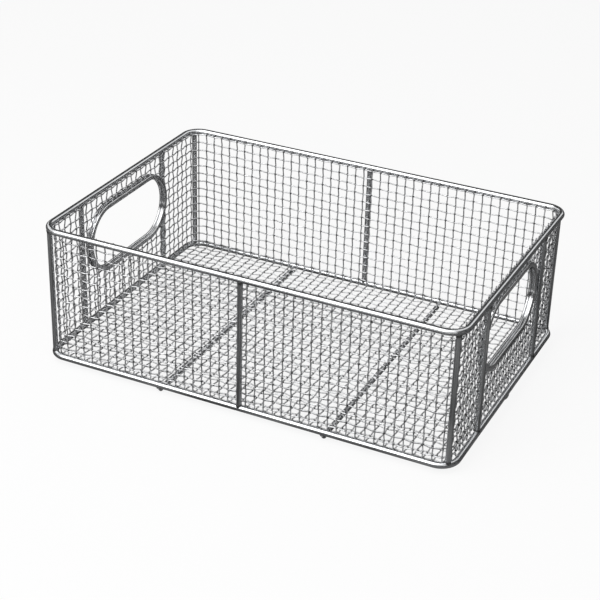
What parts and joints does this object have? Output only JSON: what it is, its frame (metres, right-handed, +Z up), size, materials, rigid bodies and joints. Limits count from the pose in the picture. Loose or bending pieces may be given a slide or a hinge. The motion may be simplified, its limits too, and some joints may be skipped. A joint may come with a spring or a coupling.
{
  "type": "wire mesh frying basket",
  "caption": "Rectangular open-topped frying basket of woven wire mesh on a welded rod frame, with a lined hand slot in each short end.",
  "frame": {"origin": "middle of the basket's plan, on the plane of the two floor runners that it stands on", "axes": "+Z up, X along the basket's length with a hand slot at each end, -Y is the long side that faces the viewer"},
  "size_m": [0.415, 0.284, 0.1417],
  "materials": {
    "polished_rod": "electropolished stainless rod",
    "pressed_channel": "polished pressed stainless sheet",
    "drawn_wire": "bright drawn stainless wire, woven and crimped"
  },
  "bodies": {
    "root": {"top_rim": "polished_rod", "bottom_ring": "polished_rod", "corner_post_front_left": "polished_rod", "corner_post_front_right": "polished_rod", "corner_post_back_left": "polished_rod", "corner_post_back_right": "polished_rod", "mid_post_front": "polished_rod", "mid_post_back": "polished_rod", "end_stay_left_front": "polished_rod", "end_stay_left_back": "polished_rod", "end_stay_right_front": "polished_rod", "end_stay_right_back": "polished_rod", "floor_runner_left": "polished_rod", "floor_runner_right": "polished_rod", "slot_liner_left": "pressed_channel", "slot_liner_right": "pressed_channel", "mesh_front": "drawn_wire", "mesh_back": "drawn_wire", "mesh_left_front": "drawn_wire", "mesh_left_back": "drawn_wire", "mesh_left_under_slot": "drawn_wire", "mesh_left_over_slot": "drawn_wire", "mesh_right_front": "drawn_wire", "mesh_right_back": "drawn_wire", "mesh_right_under_slot": "drawn_wire", "mesh_right_over_slot": "drawn_wire", "mesh_floor": "drawn_wire"}
  },
  "joints": []
}
